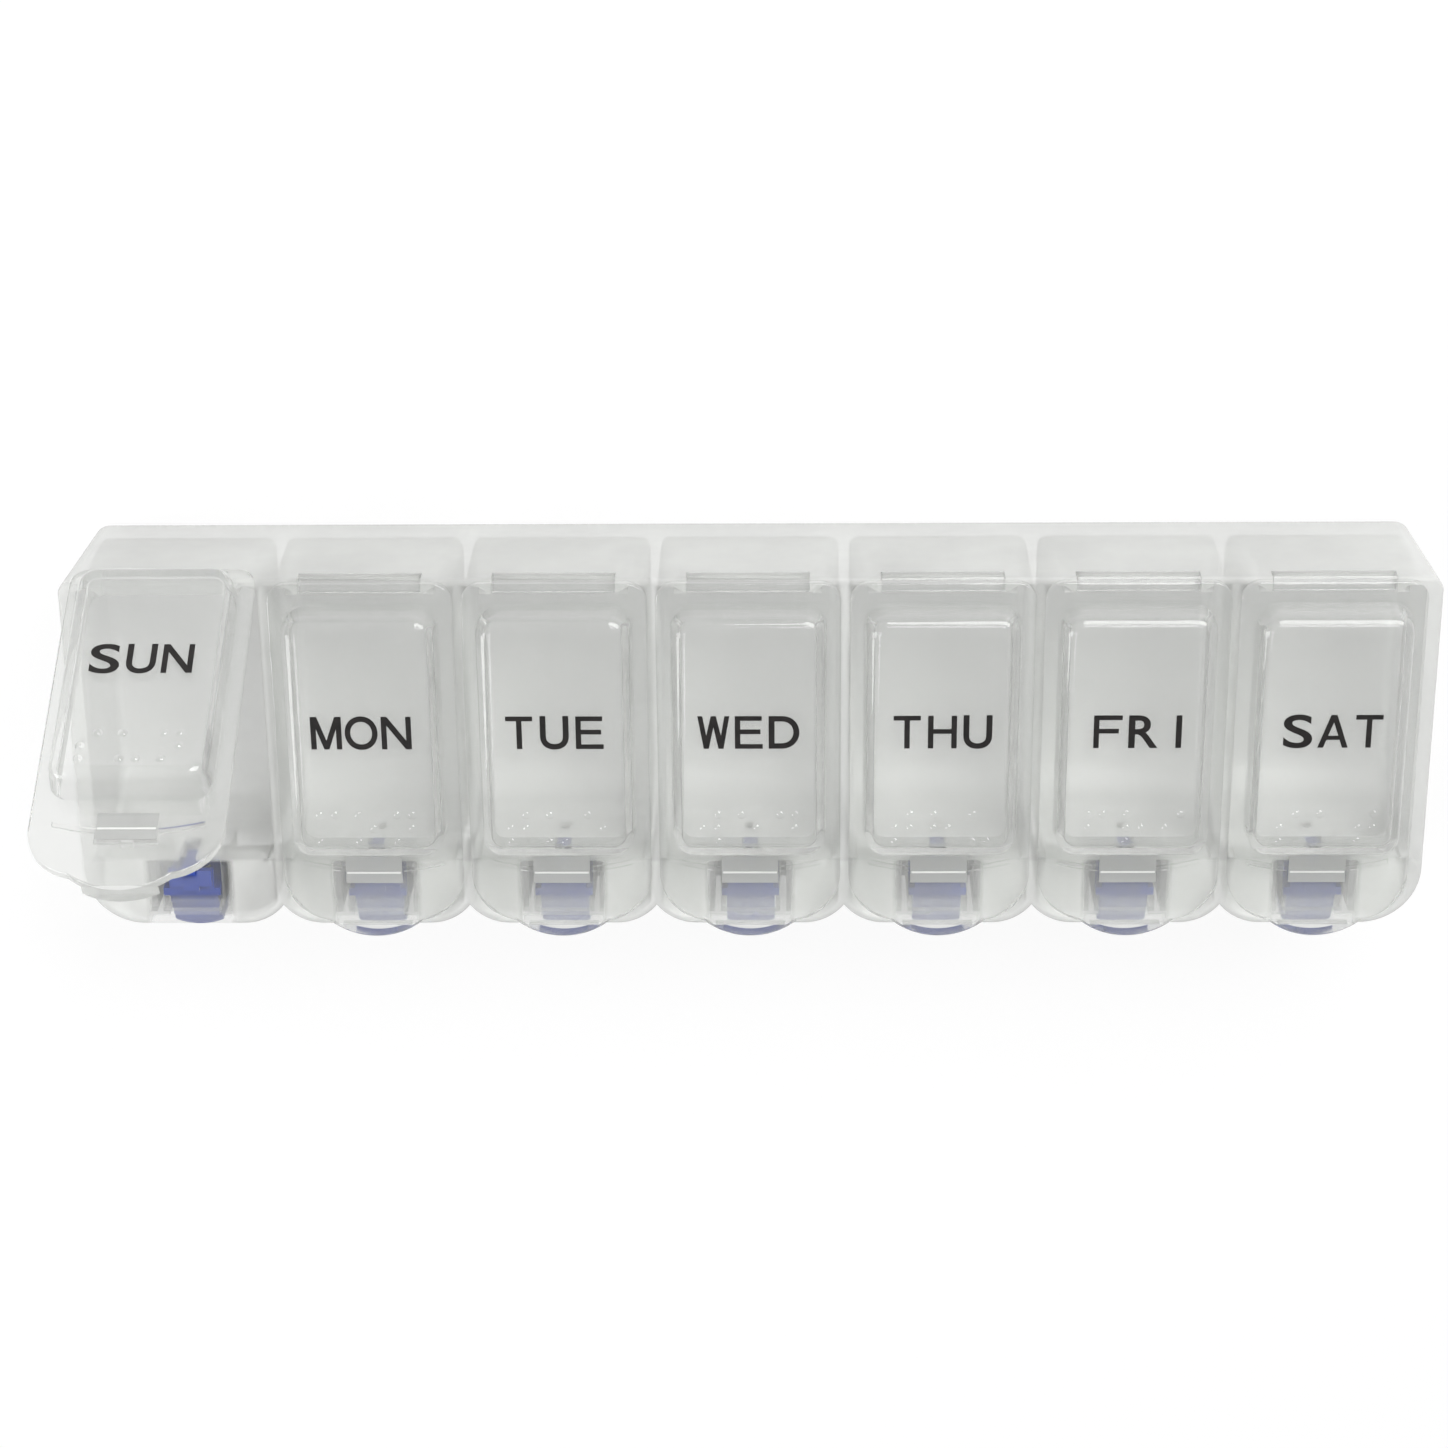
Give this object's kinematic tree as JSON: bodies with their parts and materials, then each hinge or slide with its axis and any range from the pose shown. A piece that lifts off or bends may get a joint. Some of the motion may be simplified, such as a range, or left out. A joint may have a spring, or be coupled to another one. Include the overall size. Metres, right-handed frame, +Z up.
{
  "type": "weekly pill organizer",
  "caption": "Long frosted tray of day compartments, each with a clear domed lid on a rear hinge and a blue push button in front that frees the lid.",
  "frame": {"origin": "middle of the tray's flat underside", "axes": "+X along the row of days from Sunday to Saturday, +Y towards the lid hinges, +Z up"},
  "size_m": [0.2134, 0.0671, 0.0784],
  "materials": {
    "tray": "frosted translucent polypropylene",
    "lid": "clear glossy moulded plastic",
    "button": "opaque blue moulded plastic",
    "spring": "plain spring wire"
  },
  "bodies": {
    "tray": {"tray_sun": "tray", "tray_mon": "tray", "tray_tue": "tray", "tray_wed": "tray", "tray_thu": "tray", "tray_fri": "tray", "tray_sat": "tray", "button_spring_sun": "spring", "button_spring_mon": "spring", "button_spring_tue": "spring", "button_spring_wed": "spring", "button_spring_thu": "spring", "button_spring_fri": "spring", "button_spring_sat": "spring"},
    "lid_sun": {"lid_sun": "lid"},
    "lid_mon": {"lid_mon": "lid"},
    "lid_tue": {"lid_tue": "lid"},
    "lid_wed": {"lid_wed": "lid"},
    "lid_thu": {"lid_thu": "lid"},
    "lid_fri": {"lid_fri": "lid"},
    "lid_sat": {"lid_sat": "lid"},
    "button_sun": {"button_sun": "button"},
    "button_mon": {"button_mon": "button"},
    "button_tue": {"button_tue": "button"},
    "button_wed": {"button_wed": "button"},
    "button_thu": {"button_thu": "button"},
    "button_fri": {"button_fri": "button"},
    "button_sat": {"button_sat": "button"}
  },
  "joints": [
    {"name": "hinge_sun", "type": "hinge", "parent": "tray", "child": "lid_sun", "pos_m": [-0.09, 0.0287, 0.0243], "axis": [-1, 0, 0], "range_deg": [-62, 43]},
    {"name": "hinge_mon", "type": "hinge", "parent": "tray", "child": "lid_mon", "pos_m": [-0.06, 0.0287, 0.0243], "axis": [-1, 0, 0], "range_deg": [0, 105]},
    {"name": "hinge_tue", "type": "hinge", "parent": "tray", "child": "lid_tue", "pos_m": [-0.03, 0.0287, 0.0243], "axis": [-1, 0, 0], "range_deg": [0, 105]},
    {"name": "hinge_wed", "type": "hinge", "parent": "tray", "child": "lid_wed", "pos_m": [0, 0.0287, 0.0243], "axis": [-1, 0, 0], "range_deg": [0, 105]},
    {"name": "hinge_thu", "type": "hinge", "parent": "tray", "child": "lid_thu", "pos_m": [0.03, 0.0287, 0.0243], "axis": [-1, 0, 0], "range_deg": [0, 105]},
    {"name": "hinge_fri", "type": "hinge", "parent": "tray", "child": "lid_fri", "pos_m": [0.06, 0.0287, 0.0243], "axis": [-1, 0, 0], "range_deg": [0, 105]},
    {"name": "hinge_sat", "type": "hinge", "parent": "tray", "child": "lid_sat", "pos_m": [0.09, 0.0287, 0.0243], "axis": [-1, 0, 0], "range_deg": [0, 105]},
    {"name": "press_sun", "type": "slide", "parent": "tray", "child": "button_sun", "axis": [0, 1, 0], "range_m": [0, 0.0016], "stiffness_N_per_m": 400, "springref_m": -0.0015, "deforming": ["button_spring_sun"]},
    {"name": "press_mon", "type": "slide", "parent": "tray", "child": "button_mon", "axis": [0, 1, 0], "range_m": [0, 0.0016], "stiffness_N_per_m": 400, "springref_m": -0.0015, "deforming": ["button_spring_mon"]},
    {"name": "press_tue", "type": "slide", "parent": "tray", "child": "button_tue", "axis": [0, 1, 0], "range_m": [0, 0.0016], "stiffness_N_per_m": 400, "springref_m": -0.0015, "deforming": ["button_spring_tue"]},
    {"name": "press_wed", "type": "slide", "parent": "tray", "child": "button_wed", "axis": [0, 1, 0], "range_m": [0, 0.0016], "stiffness_N_per_m": 400, "springref_m": -0.0015, "deforming": ["button_spring_wed"]},
    {"name": "press_thu", "type": "slide", "parent": "tray", "child": "button_thu", "axis": [0, 1, 0], "range_m": [0, 0.0016], "stiffness_N_per_m": 400, "springref_m": -0.0015, "deforming": ["button_spring_thu"]},
    {"name": "press_fri", "type": "slide", "parent": "tray", "child": "button_fri", "axis": [0, 1, 0], "range_m": [0, 0.0016], "stiffness_N_per_m": 400, "springref_m": -0.0015, "deforming": ["button_spring_fri"]},
    {"name": "press_sat", "type": "slide", "parent": "tray", "child": "button_sat", "axis": [0, 1, 0], "range_m": [0, 0.0016], "stiffness_N_per_m": 400, "springref_m": -0.0015, "deforming": ["button_spring_sat"]}
  ]
}
